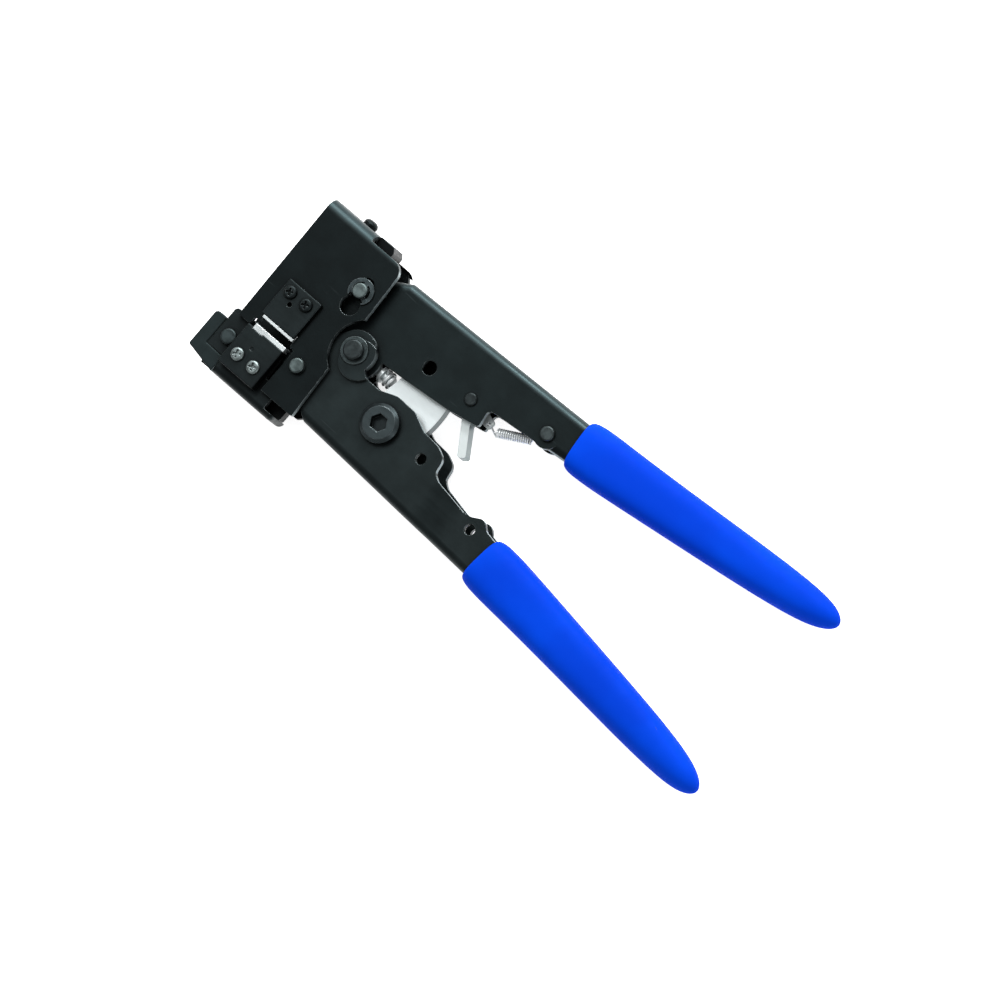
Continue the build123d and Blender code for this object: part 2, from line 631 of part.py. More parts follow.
def lower_plan(plane):
    """Outline of the lower handle."""
    points = (
        (LOWER_FRONT_X, LOWER_FRONT_Y),
        tang_point(0, TANG_START, -1),
        tang_point(TANG_LENGTH, TANG_END, -1),
        tang_point(TANG_LENGTH, -TANG_END, -1),
        tang_point(0, -TANG_START, -1),
        (77.2, -17.2),
        (74.0, -14.4),
        (69.6, -16.8),
        (66.0, -17.3),
        (53.0, -15.1),
        (50.2, -13.4),
        (49.4, -8.0),
        (44.6, -5.9),
        (37.5, -5.5),
        (30.5, -2.4),
        (22.3, -2.1),
        (15.5, -4.7),
        (9.6, -4.6),
        (4.0, 0.0),
        (-PIVOT_X + 2.0, -PIN_Y + 2.0),
        (-PIVOT_X + 2.0, -PIN_Y - 4.0),
    )
    tang = (0, 0, 0, 2.5, 0)
    edge = (2.0, 2.6, 2.0, 0, 2.4, 2.4, 4.2, 6.0, 5.0, 5.0, 5.0, 3.0, 1.8)
    return outline(plane, points, tang + edge + (0, 0, 0))


def thickness(wide, narrow):
    """Side outline of the lower handle, which steps in towards its tang."""
    far = 20.0
    points = (
        (-2 * far, -wide),
        (JOGGLE_X, -wide),
        (JOGGLE_END, -narrow),
        (TANG_X + TANG_LENGTH + far, -narrow),
        (TANG_X + TANG_LENGTH + far, narrow),
        (JOGGLE_END, narrow),
        (JOGGLE_X, wide),
        (-2 * far, wide),
    )
    radii = (0, JOGGLE_R, JOGGLE_R, 0, 0, JOGGLE_R, JOGGLE_R, 0)
    plane = Plane((PIVOT_X, 0, MID_Z), x_dir=(1, 0, 0), z_dir=(0, -1, 0))
    return outline(plane, points, radii)


with BuildPart() as lower_core:
    low = at_pivot(MID_Z - LOWER_IN)
    extrude(hollow_plan(low, -1), amount=2 * LOWER_IN)
    extrude(thickness(LOWER_IN, UPPER_IN), amount=80, both=True, mode=Mode.INTERSECT)
    fillet(spine_edges(lower_core, -1), BEND_R - SHEET)

with BuildPart() as lower_handle:
    low = at_pivot(MID_Z - LOWER_OUT)
    extrude(lower_plan(low), amount=2 * LOWER_OUT)
    extrude(link(-PIVOT_X, -PIN_Y, HEAD_BOSS_R, 0, 0, LOWER_BOSS_R, low), amount=2 * LOWER_OUT)
    extrude(thickness(LOWER_OUT, UPPER_OUT), amount=80, both=True, mode=Mode.INTERSECT)
    fillet(spine_edges(lower_handle, -1), BEND_R)
    add(lower_core.part, mode=Mode.SUBTRACT)
    # round pad drawn up round the main pivot, cut off at the edges of the front plate
    front = at_pivot(JAW_Z - SHEET)
    height = SHEET + PAD_H
    pad = extrude(disc(PAD_X, PAD_Y, PAD_R, front), amount=height, mode=Mode.PRIVATE)
    end = link(-PIVOT_X, -PIN_Y, HEAD_BOSS_R, 0, 0, LOWER_BOSS_R, front)
    plate = extrude(lower_plan(front), amount=height, mode=Mode.PRIVATE)
    plate += extrude(end, amount=height, mode=Mode.PRIVATE)
    add(pad & plate)
    holes = (
        (-PIVOT_X, -PIN_Y, PIN_R + FIT),
        (0, 0, PIVOT_R),
        (BOLT_X, BOLT_Y, BOLT_R),
        (43.1, -13.1, 2.0),
        (72.1, -20.4, 2.0),
    )
    arm_holes(holes, low, 2 * LOWER_OUT + PAD_H)
finish(lower_handle.part, "lower_handle")


# ================================================================ grips
def grip_section(along, half_width, half_depth, side):
    """Rounded cross-section of a grip, square to its centre line."""
    x, y = tang_point(along, 0, side)
    turn = side * TANG_ANGLE
    plane = Plane(
        (PIVOT_X + x, y, MID_Z),
        x_dir=(-sin(radians(turn)), cos(radians(turn)), 0),
        z_dir=(cos(radians(turn)), sin(radians(turn)), 0),
    )
    with BuildSketch(plane) as sketch:
        RectangleRounded(2 * half_width, 2 * half_depth, 0.6 * half_depth)
    return sketch.sketch


def tang_socket(side):
    """Room for the tang inside a grip, with a little clearance."""
    wide, narrow = TANG_START + RUN, TANG_END + RUN
    points = (
        tang_point(-4, wide + 0.1, side),
        tang_point(TANG_LENGTH + 1, narrow, side),
        tang_point(TANG_LENGTH + 1, -narrow, side),
        tang_point(-4, -wide - 0.1, side),
    )
    half = UPPER_OUT + RUN
    return extrude(outline(at_pivot(MID_Z - half), points, (0,) * 4), amount=2 * half)


def grip(side):
    """Dipped grip, hollow where it covers the tang."""
    with BuildPart() as body:
        loft([grip_section(*shape, side) for shape in GRIP_SHAPE])
        add(tang_socket(side), mode=Mode.SUBTRACT)
    return body.part


finish(grip(1), "upper_grip")
finish(grip(-1), "lower_grip")

# ================================================================ main pivot
PAD_Z = JAW_Z + PAD_H
with BuildPart() as pivot_pin:
    extrude(disc(0, 0, PIVOT_R, at_pivot(BACK_Z - 1.2)), amount=PAD_Z + 2.6 - BACK_Z + 1.2)
    extrude(disc(0, 0, 3.6, at_pivot(BACK_Z - 1.2)), amount=1.2)
    extrude(disc(0, 0, 3.6, at_pivot(PAD_Z + 0.6)), amount=2.0)
    fillet(pivot_pin.faces().sort_by(Axis.Z)[-1].edges(), 0.7)
    fillet(pivot_pin.faces().sort_by(Axis.Z)[0].edges(), 0.5)
finish(pivot_pin.part, "pivot_pin")

with BuildPart() as pivot_washer:
    extrude(disc(0, 0, 5.0, at_pivot(PAD_Z)), amount=0.6)
    extrude(disc(0, 0, PIVOT_R, at_pivot(PAD_Z)), amount=0.6, mode=Mode.SUBTRACT)
    chamfer(pivot_washer.faces().sort_by(Axis.Z)[-1].outer_wire().edges(), 0.2)
finish(pivot_washer.part, "pivot_washer")

with BuildPart() as pivot_bush:
    low = at_pivot(MID_Z - UPPER_IN + SIDE)
    extrude(disc(0, 0, 4.0, low), amount=2 * (UPPER_IN - SIDE))
    extrude(disc(0, 0, PIVOT_R, low), amount=2 * (UPPER_IN - SIDE), mode=Mode.SUBTRACT)
finish(pivot_bush.part, "pivot_bush")

# ================================================================ ratchet
def polar(radius, angle):
    """Pivot coordinates of a point at an angle from the x axis."""
    return (radius * cos(radians(angle)), radius * sin(radians(angle)))


with BuildPart() as ratchet_plate:
    low = at_pivot(MID_Z - BAR_HALF)
    body = outline(
        low,
        (
            (16.3, -14.0),
            (31.0, -17.0),
            (44.0, -8.0),
            (46.0, 26.0),
            (30.0, 20.0),
            (27.6, 7.6),
            (17.2, 4.6),
            (15.6, -4.0),
        ),
        (4.0, 4.0, 0, 0, 1.0, 1.0, 1.0, 2.0),
    )
    extrude(body, amount=2 * BAR_HALF)
    extrude(disc(0, 0, RATCHET_R, low), amount=2 * BAR_HALF, mode=Mode.INTERSECT)
    # teeth on the part of the rear arc that runs inside the upper handle
    for step in range(TOOTH_COUNT):
        turn = TOOTH_START + step * TOOTH_PITCH
        root = polar(RATCHET_R - TOOTH_DEPTH, turn)
        back = polar(RATCHET_R + 0.3, turn + TOOTH_PITCH * 0.85)
        out = polar(RATCHET_R + 0.7, turn)
        extrude(outline(low, (out, root, back), (0, 0, 0)), amount=2 * BAR_HALF, mode=Mode.SUBTRACT)
    extrude(disc(BOLT_X, BOLT_Y, BOLT_R, low), amount=2 * BAR_HALF, mode=Mode.SUBTRACT)
finish(ratchet_plate.part, "ratchet_plate")

with BuildPart() as ratchet_spacers:
    ring_depth = LOWER_IN - BAR_HALF
    for z in (MID_Z - LOWER_IN, MID_Z + BAR_HALF):
        extrude(disc(BOLT_X, BOLT_Y, 5.2, at_pivot(z)), amount=ring_depth)
    extrude(disc(BOLT_X, BOLT_Y, BOLT_R, at_pivot(0)), amount=2 * MID_Z, mode=Mode.SUBTRACT)
finish(ratchet_spacers.part, "ratchet_spacers")

with BuildPart() as ratchet_bolt:
    extrude(disc(BOLT_X, BOLT_Y, BOLT_R, at_pivot(BACK_Z - BOLT_STUB)), amount=JAW_Z - BACK_Z + BOLT_STUB)
    extrude(disc(BOLT_X, BOLT_Y, 7.0, at_pivot(JAW_Z)), amount=3.0)
    chamfer(ratchet_bolt.faces().sort_by(Axis.Z)[-1].edges(), 1.0, 1.2)
    with BuildSketch(at_pivot(JAW_Z + 0.4)):
        with Locations((BOLT_X, BOLT_Y)):
            RegularPolygon(3.3, 6)
    extrude(amount=4, mode=Mode.SUBTRACT)
finish(ratchet_bolt.part, "ratchet_bolt")

with BuildPart() as ratchet_nut:
    with BuildSketch(at_pivot(BACK_Z - BOLT_STUB)):
        with Locations((BOLT_X, BOLT_Y)):
            RegularPolygon(5.6, 6)
            Circle(BOLT_R, mode=Mode.SUBTRACT)
    extrude(amount=BOLT_STUB)
finish(ratchet_nut.part, "ratchet_nut")

# ---- spring that steadies the ratchet plate against the pivot bush ----
SEAT_X = 9.8
with BuildPart() as spring_guide:
    along = Plane((PIVOT_X, 0, MID_Z), x_dir=(0, 1, 0), z_dir=(1, 0, 0))
    extrude(disc(0, 0, 1.8, along.offset(4.0)), amount=11.2)
    extrude(disc(0, 0, 3.0, along.offset(SEAT_X)), amount=1.2)
finish(spring_guide.part, "spring_guide")


def coil_spring(centre, direction, length, turns, radius, wire):
    """Compression spring with round wire, its first coil centred half a wire in."""
    with BuildPart() as spring:
        with BuildLine() as path:
            Helix(length / turns, length, radius, center=centre, direction=direction)
        start = path.line @ 0
        with BuildSketch(Plane(start, z_dir=path.line % 0)):
            Circle(wire)
        sweep(path=path.line, is_frenet=True)
    return spring.part


ratchet_spring = coil_spring((PIVOT_X + SEAT_X + 1.8, 0, MID_Z), (1, 0, 0), 3.9, 2, 2.5, 0.55)
finish(ratchet_spring, "ratchet_spring")
room = BLOCK_BOTTOM - BAR_TOP  # between the draw bar and the end block
return_spring = coil_spring((0, BAR_TOP + 0.6, MID_Z), (0, 1, 0), room - 1.2, 3, 2.4, 0.5)
finish(return_spring, "return_spring")

# ================================================================ pawl
low_z, head_z = MID_Z - UPPER_OUT, MID_Z + UPPER_OUT
pawl_pin = headed_pin(PIVOT_X + PAWL_X, PAWL_Y, PAWL_PIN_R, low_z, head_z, (2.3, 0.9, 0.5))
finish(pawl_pin, "pawl_pin")
spring_pin = headed_pin(PIVOT_X + SPRING_X, SPRING_Y, PAWL_PIN_R, low_z, head_z, (2.65, 1.3, 0.6))
finish(spring_pin, "spring_pin")

with BuildPart() as pawl:
    low = at_pivot(MID_Z - PAWL_HALF)
    extrude(disc(PAWL_X, PAWL_Y, 3.8, low), amount=2 * PAWL_HALF)
    # release lever that hangs between the handles
    lever = outline(
        low,
        ((42.2, 9.8), (46.0, 9.0), (46.9, 6.4), (53.4, -3.1), (50.9, -4.9), (44.0, 5.2), (40.0, 10.6)),
        (0, 2.0, 2.0, 0.9, 0.9, 2.0, 0),
    )
    extrude(lever, amount=2 * PAWL_HALF)
    # nose that drops between the ratchet teeth
    nose = outline(
        low,
        ((40.9, 16.9), (34.8, 17.2), (34.3, 16.0), (41.0, 9.8), (43.5, 13.0)),
        (1.0, 0.3, 0, 0, 0),
    )
    extrude(nose, amount=2 * PAWL_HALF)
    # ear for the spring, thinned so that the hook can turn on it
    ear = outline(
        at_pivot(MID_Z - 0.8),
        ((43.0, 9.8), (52.4, 9.2), (52.6, 12.4), (44.0, 15.2)),
        (0, 1.2, 1.2, 0),
    )
    extrude(ear, amount=1.6)
    arm_holes(((PAWL_X, PAWL_Y, PAWL_PIN_R + FIT), (EAR_X, EAR_Y, 0.75)), low, 2 * PAWL_HALF)
finish(pawl.part, "pawl")

with BuildPart() as pawl_spring:
    reach = Vector(SPRING_X - EAR_X, SPRING_Y - PAWL_PIN_R - 0.6 - EAR_Y, 0)
    aim = reach.normalized()
    start = Vector(PIVOT_X + EAR_X, EAR_Y, MID_Z)
    body_start = start + aim * 4.4
    body = Plane(body_start, z_dir=aim)
    with BuildSketch(body):
        Circle(1.45)
        Circle(0.85, mode=Mode.SUBTRACT)
    extrude(amount=11.5)
    with BuildSketch(Plane(start + aim * 1.6, z_dir=aim)):
        with Locations((0, 1.15)):
            Circle(0.3)
    extrude(amount=3.0)
finish(pawl_spring.part, "pawl_spring")
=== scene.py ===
import math

import bmesh
import bpy
from mathutils import Matrix, Vector


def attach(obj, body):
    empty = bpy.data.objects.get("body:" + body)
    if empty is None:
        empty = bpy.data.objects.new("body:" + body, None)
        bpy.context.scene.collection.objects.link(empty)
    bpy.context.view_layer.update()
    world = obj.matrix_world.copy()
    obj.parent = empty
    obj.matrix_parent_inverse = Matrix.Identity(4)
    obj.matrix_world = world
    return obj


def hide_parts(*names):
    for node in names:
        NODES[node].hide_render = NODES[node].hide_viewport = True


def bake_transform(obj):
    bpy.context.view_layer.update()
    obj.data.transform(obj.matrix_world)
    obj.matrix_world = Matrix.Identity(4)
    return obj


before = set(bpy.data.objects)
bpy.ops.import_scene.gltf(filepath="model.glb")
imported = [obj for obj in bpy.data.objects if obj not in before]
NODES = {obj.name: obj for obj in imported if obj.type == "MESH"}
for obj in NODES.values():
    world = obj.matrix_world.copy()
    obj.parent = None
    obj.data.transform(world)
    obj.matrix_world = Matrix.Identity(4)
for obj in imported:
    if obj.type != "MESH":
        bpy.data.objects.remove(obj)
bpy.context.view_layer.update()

MM = 0.001  # the frame is in metres, and sizes below are in millimetres
PIVOT_X = 11.6  # main pivot of the handles, which lies on the x axis
MID_Z = 10.0  # middle plane of the tool
OUT = Vector((0, 0, 1))  # out of the front plates


# ---------------------------------------------------------------- node helpers
class Tree:
    """A material's node tree, with short ways to add and join nodes."""

    def __init__(self, name):
        self.material = bpy.data.materials.new(name)
        self.material.use_nodes = True
        self.tree = self.material.node_tree
        self.shader = self.tree.nodes["Principled BSDF"]

    def node(self, kind, inputs=None, **settings):
        made = self.tree.nodes.new(kind)
        for key, value in settings.items():
            setattr(made, key, value)
        for key, value in (inputs or {}).items():
            self.put(made.inputs[key], value)
        return made

    def put(self, socket, value):
        if isinstance(value, bpy.types.NodeSocket):
            self.tree.links.new(value, socket)
        else:
            socket.default_value = value

    def math(self, kind, a, b=0.0):
        return self.node("ShaderNodeMath", {0: a, 1: b}, operation=kind).outputs[0]

    def span(self, value, low, high, to_low=0.0, to_high=1.0):
        """Value mapped smoothly from low..high to to_low..to_high."""
        inputs = {
            "Value": value,
            "From Min": low,
            "From Max": high,
            "To Min": to_low,
            "To Max": to_high,
        }
        return self.node("ShaderNodeMapRange", inputs, interpolation_type="SMOOTHSTEP").outputs[0]

    def mix(self, amount, a, b):
        """Colour a where amount is 0, and colour b where it is 1."""
        made = self.node("ShaderNodeMix", data_type="RGBA")
        self.put(made.inputs[0], amount)
        self.put(made.inputs[6], a)
        self.put(made.inputs[7], b)
        return made.outputs[2]

    def place(self, scale=(1, 1, 1), turn=0.0):
        """Object coordinates, stretched and turned about Z."""
        coordinates = self.node("ShaderNodeTexCoord").outputs["Object"]
        inputs = {"Vector": coordinates, "Scale": scale, "Rotation": (0, 0, turn)}
        return self.node("ShaderNodeMapping", inputs).outputs[0]

    def noise(self, scale, detail=3.0, rough=0.5, where=None):
        inputs = {"Scale": scale, "Detail": detail, "Roughness": rough}
        inputs["Vector"] = where or self.place()
        return self.node("ShaderNodeTexNoise", inputs).outputs["Fac"]

    def normal_axes(self):
        """X, Y and Z of the face direction in the piece's own frame."""
        normal = self.node("ShaderNodeTexCoord").outputs["Normal"]
        return self.node("ShaderNodeSeparateXYZ", {0: normal}).outputs

    def round_edges(self, radius_mm):
        return self.node("ShaderNodeBevel", {"Radius": radius_mm * MM}, samples=6).outputs[0]

    def edge(self, radius_mm, low, high):
        """1 on sharp edges, 0 on flat faces."""
        bevel = self.round_edges(radius_mm)
        face = self.node("ShaderNodeNewGeometry").outputs["Normal"]
        product = self.node("ShaderNodeVectorMath", {0: bevel, 1: face}, operation="DOT_PRODUCT")
        return self.span(product.outputs["Value"], high, low)

    def shade(self, reach_mm):
        """1 in the open, less where another piece stands close by."""
        inputs = {"Distance": reach_mm * MM}
        return self.node("ShaderNodeAmbientOcclusion", inputs, samples=8).outputs["AO"]

    def bump(self, height, strength, distance_mm, below=None):
        inputs = {"Strength": strength, "Distance": distance_mm * MM, "Height": height}
        if below is not None:
            inputs["Normal"] = below
        return self.node("ShaderNodeBump", inputs).outputs[0]

    def set(self, **values):
        for key, value in values.items():
            self.put(self.shader.inputs[key.replace("_", " ")], value)


def colour(red, green, blue):
    """sRGB 0..255 as linear RGBA."""
    def linear(v):
        v /= 255
        return v / 12.92 if v <= 0.04045 else ((v + 0.055) / 1.055) ** 2.4
    return (linear(red), linear(green), linear(blue), 1.0)


def scaled(base, factor):
    """A colour made darker or lighter by a factor."""
    return tuple(channel * factor for channel in base[:3]) + (1,)


# ---------------------------------------------------------------- materials
SHEARED = colour(150, 165, 168)  # cut edges of the plates
PAINTED_BEND_HIGHLIGHT = colour(46, 58, 60)  # painted highlight: paler colour on the outside of the bends, where they turn towards +Y
SCRATCH = colour(78, 88, 90)
WORN_OXIDE = colour(150, 160, 162)  # edges rubbed through the black
WORN_PIN = colour(165, 176, 178)
WORN_ZINC = colour(240, 244, 244)

OXIDE_METAL, CUT_METAL = 0.92, 0.35  # how metallic blackened and sheared faces look
# cosine between the rounded and the flat normal, where an edge is fully worn and where not at all
EDGE_LOW, EDGE_HIGH = 0.86, 0.985
PAINTED_SHADE_REACH = 11  # how near another piece has to be for painted shade to darken the steel


def black_oxide(name, base, cut=None, wear=0.5, rough=0.42, cut_tone=SHEARED, bend=False):
    """Blackened sheet steel: fine grain, faint mottling, rubbed edges, paler sheared faces,
    painted shade near other pieces.

    With cut set, faces that look along X are sheared, and with 1 or -1 those that look towards
    +Y or -Y are too. With bend as well, faces that turn towards +Y get a painted highlight.
    """
    t = Tree(name)
    mottle = t.noise(90, 4, 0.6)
    grain = t.noise(2600, 2, 0.6)
    rolled = t.noise(500, 3, 0.6, t.place((0.12, 1.6, 1.0)))
    body = t.mix(t.span(mottle, 0.30, 0.72), scaled(base, 0.84), scaled(base, 1.16))
    body = t.mix(t.span(grain, 0.62, 0.80, 0, 0.35), body, scaled(base, 2.1))
    scratches = t.noise(900, 2, 0.5, t.place((0.06, 1, 1), 0.7))
    body = t.mix(t.span(scratches, 0.72, 0.82, 0, 0.22), body, SCRATCH)
    metal = OXIDE_METAL
    if cut is not None:
        axes = t.normal_axes()
        facing = t.math("ABSOLUTE", axes[0])
        if cut:
            facing = t.math("MAXIMUM", facing, t.math("MULTIPLY", axes[1], float(cut)))
        sheared = t.span(facing, 0.72, 0.92, 0, 0.85)
        if bend:
            # painted highlight on the faces of the bends that turn towards +Y
            body = t.mix(t.span(axes[1], 0.06, 0.55, 0, 0.9), body, PAINTED_BEND_HIGHLIGHT)
        body = t.mix(sheared, body, cut_tone)
        metal = t.span(sheared, 0, 1, OXIDE_METAL, CUT_METAL)
    patches = t.span(t.noise(420, 3, 0.65), 0.34, 0.62)
    rubbed = t.math("MULTIPLY", t.edge(0.35, EDGE_LOW, EDGE_HIGH), patches)
    body = t.mix(t.math("MULTIPLY", rubbed, wear), body, WORN_OXIDE)
    # painted shade: the colour goes darker where another piece stands close, in corners and
    # beside overlapping plates
    painted_shade = t.span(t.shade(PAINTED_SHADE_REACH), 0.45, 0.99, 0.85, 0.0)
    body = t.mix(painted_shade, body, scaled(base, 0.3))
    shine = t.span(rolled, 0.3, 0.7, rough - 0.05, rough + 0.08)
    shine = t.math("SUBTRACT", shine, t.math("MULTIPLY", rubbed, 0.12))
    normal = t.bump(grain, 0.22, 0.02, t.bump(rolled, 0.10, 0.02, t.round_edges(0.38)))
    t.set(Base_Color=body, Metallic=metal, Roughness=shine, Normal=normal)
    return t.material


def pin_steel(name, base, rough=0.36):
    """Turned and blackened pin: mottled, fine grained, rubbed brighter on its edge."""
    t = Tree(name)
    mottle = t.noise(350, 4, 0.6)
    grain = t.noise(3200, 2, 0.6)
    body = t.mix(t.span(mottle, 0.34, 0.68), scaled(base, 0.75), scaled(base, 1.35))
    patches = t.span(t.noise(600, 3, 0.65), 0.32, 0.6)
    rubbed = t.math("MULTIPLY", t.edge(0.3, EDGE_LOW, EDGE_HIGH), patches)
    body = t.mix(t.math("MULTIPLY", rubbed, 0.6), body, WORN_PIN)
    shine = t.span(mottle, 0.3, 0.7, rough - 0.06, rough + 0.1)
    normal = t.bump(grain, 0.25, 0.02, t.bump(mottle, 0.2, 0.03, t.round_edges(0.2)))
    t.set(Base_Color=body, Metallic=OXIDE_METAL, Roughness=shine, Normal=normal)
    return t.material


def bright_metal(name, base, rough=0.30, grain_turn=0.0, metallic=0.8, side_shade=None):
    """Bright zinc or spring steel: a faint fine grain, slow stains, and with side_shade, side
    faces painted darker as shade.
    """
    t = Tree(name)
    lines = t.noise(900, 2, 0.5, t.place((0.15, 1.0, 1.0), grain_turn))
    speck = t.noise(2600, 2, 0.5)
    stain = t.noise(120, 3, 0.5)
    body = t.mix(t.span(stain, 0.32, 0.72), base, scaled(base, 0.90))
    body = t.mix(t.span(lines, 0.50, 0.80, 0, 0.10), body, scaled(base, 0.80))
    body = t.mix(t.span(speck, 0.66, 0.82, 0, 0.12), body, scaled(base, 0.7))
    if side_shade is not None:
        # painted shade: faces that look sideways go towards the darker side_shade colour
        up = t.math("ABSOLUTE", t.normal_axes()[2])
        body = t.mix(t.span(up, 0.45, 0.15, 0, 0.9), body, side_shade)
    rubbed = t.edge(0.25, EDGE_LOW, EDGE_HIGH)
    body = t.mix(t.math("MULTIPLY", rubbed, 0.4), body, WORN_ZINC)
    shine = t.span(stain, 0.3, 0.7, rough - 0.04, rough + 0.07)
    normal = t.bump(lines, 0.04, 0.02, t.bump(speck, 0.05, 0.02, t.round_edges(0.18)))
    t.set(Base_Color=body, Metallic=metallic, Roughness=shine, Normal=normal)
    return t.material


def vinyl(name):
    """Dipped blue vinyl: satin skin with a faint orange peel and slow changes of depth."""
    t = Tree(name)
    peel = t.noise(420, 3, 0.55)
    slow = t.noise(36, 3, 0.5)
    fine = t.noise(2400, 2, 0.5)
    body = t.mix(t.span(slow, 0.32, 0.70), colour(0, 54, 186), colour(0, 62, 200))
    body = t.mix(t.span(fine, 0.6, 0.8, 0, 0.08), body, colour(10, 84, 226))
    patches = t.span(t.noise(300, 3, 0.6), 0.4, 0.65)
    rubbed = t.math("MULTIPLY", t.edge(0.8, 0.90, 0.99), patches)
    body = t.mix(t.math("MULTIPLY", rubbed, 0.25), body, colour(70, 130, 255))
    shine = t.span(peel, 0.3, 0.7, 0.55, 0.66)
    normal = t.bump(peel, 0.10, 0.12, t.bump(fine, 0.06, 0.02))
    t.set(Base_Color=body, Roughness=shine, Normal=normal, Specular_IOR_Level=0.03)
    return t.material


def floor_paint(name):
    """Plain pale floor that glows a little, so shadows on it stay faint."""
    t = Tree(name)
    cloud = t.noise(6, 3, 0.5)
    body = t.mix(t.span(cloud, 0.3, 0.7), (0.90, 0.90, 0.90, 1), (0.93, 0.93, 0.93, 1))
    t.set(Base_Color=body, Roughness=0.85, Normal=t.bump(t.noise(900, 2, 0.5), 0.05, 0.1))
    t.set(Emission_Color=(1, 1, 1, 1), Emission_Strength=0.78)
    return t.material


OXIDE = colour(30, 38, 39)
DEEP = colour(26, 32, 33)
PIN = colour(74, 84, 84)
ZINC = colour(208, 216, 217)
PAWL_ZINC = colour(194, 202, 202)
SPRING = colour(226, 231, 232)
# painted shade for the side faces of the ratchet plate and the pawl
ZINC_SIDE_SHADE = colour(72, 86, 88)
PAWL_SIDE_SHADE = colour(116, 130, 130)
JAW_EDGE = colour(46, 54, 56)
ACROSS_PLATE = 0.7  # direction of the grain on the stamped zinc pieces, in radians


def zinc_plate(name, base, metallic, side_shade):
    return bright_metal(name, base, 0.34, ACROSS_PLATE, metallic, side_shade)


MATERIALS = {
    "housing": black_oxide("housing_black", colour(15, 21, 22), cut=0, bend=True),
    "moving_jaw": black_oxide("jaw_black", DEEP, cut=1, cut_tone=JAW_EDGE),
    "upper_handle": black_oxide("upper_black", colour(22, 29, 30), cut=-1, bend=True),
    "lower_handle": black_oxide("lower_black", colour(30, 37, 38), cut=1),
    "end_block": black_oxide("block_black", colour(12, 16, 17), wear=0.4),
    "draw_bar": black_oxide("bar_black", colour(16, 20, 21)),
    "upper_die_block": black_oxide("upper_die_black", DEEP, wear=0.8, rough=0.36),
    "lower_die_block": black_oxide("lower_die_black", DEEP, wear=0.3, rough=0.36),
    "locator_lug": black_oxide("lug_black", OXIDE, cut=0, wear=0.8),
    "locator_pin": pin_steel("locator_pin_steel", colour(44, 52, 53)),
    "end_screw": black_oxide("end_screw_black", DEEP, wear=0.9),
    "upper_die_screws": black_oxide("upper_screw_black", DEEP, wear=1.0, rough=0.32),
    "lower_die_screws": pin_steel("lower_screw_steel", colour(112, 122, 122), rough=0.3),
    "upper_die_insert": bright_metal("upper_insert_steel", ZINC, rough=0.24),
    "lower_die_insert": bright_metal("lower_insert_steel", ZINC, rough=0.24),
    "jaw_pin": pin_steel("jaw_pin_steel", PIN),
    "lower_handle_pin": pin_steel("handle_pin_steel", PIN),
    "jaw_pin_clip": pin_steel("clip_steel", colour(48, 56, 58)),
    "jaw_pin_washers": pin_steel("washer_steel", PIN),
    "pin_spacers": pin_steel("spacer_steel", PIN),
    "pivot_pin": pin_steel("pivot_pin_steel", colour(44, 50, 51)),
    "pivot_washer": pin_steel("pivot_washer_steel", colour(50, 58, 59)),
    "pivot_bush": pin_steel("bush_steel", PIN),
    "ratchet_plate": zinc_plate("ratchet_zinc", ZINC, 0.7, ZINC_SIDE_SHADE),
    "ratchet_spacers": pin_steel("ratchet_spacer_steel", PIN),
    "ratchet_bolt": black_oxide("bolt_black", colour(50, 58, 60), wear=0.7, rough=0.38),
    "ratchet_nut": black_oxide("nut_black", DEEP, wear=0.9),
    "spring_guide": bright_metal("guide_zinc", ZINC, rough=0.36, metallic=0.35),
    "pawl": zinc_plate("pawl_zinc", PAWL_ZINC, 0.5, PAWL_SIDE_SHADE),
    "pawl_pin": pin_steel("pawl_pin_steel", colour(40, 46, 47)),
    "spring_pin": pin_steel("spring_pin_steel", colour(52, 59, 60)),
}
BLUE = vinyl("blue_vinyl_skin")
WIRE = bright_metal("fine_wire", SPRING, metallic=0.45)

for node_name, made in MATERIALS.items():
    thing = NODES[node_name]
    thing.data.materials.clear()
    thing.data.materials.append(made)


# ---------------------------------------------------------------- mesh helpers
def add_object(name, data):
    thing = bpy.data.objects.new(name, data)
    bpy.context.scene.collection.objects.link(thing)
    return thing


def shade_smooth(mesh):
    for polygon in mesh.polygons:
        polygon.use_smooth = True


def make_mesh(name, points, faces, made):
    mesh = bpy.data.meshes.new(name)
    mesh.from_pydata(points, [], faces)
    mesh.materials.append(made)
    mesh.validate()
    shade_smooth(mesh)
    return add_object(name, mesh)


def mend_normals(thing):
    """Turn every face of a closed mesh outwards."""
    work = bmesh.new()
    work.from_mesh(thing.data)
    bmesh.ops.recalc_face_normals(work, faces=work.faces)
    work.to_mesh(thing.data)
    work.free()


# ---------------------------------------------------------------- grips
GRIP_START = Vector((PIVOT_X + 81.2, 25.6))  # where a grip starts, on its centre line
GRIP_TURN = math.radians(5.7)
RING_POINTS = 40
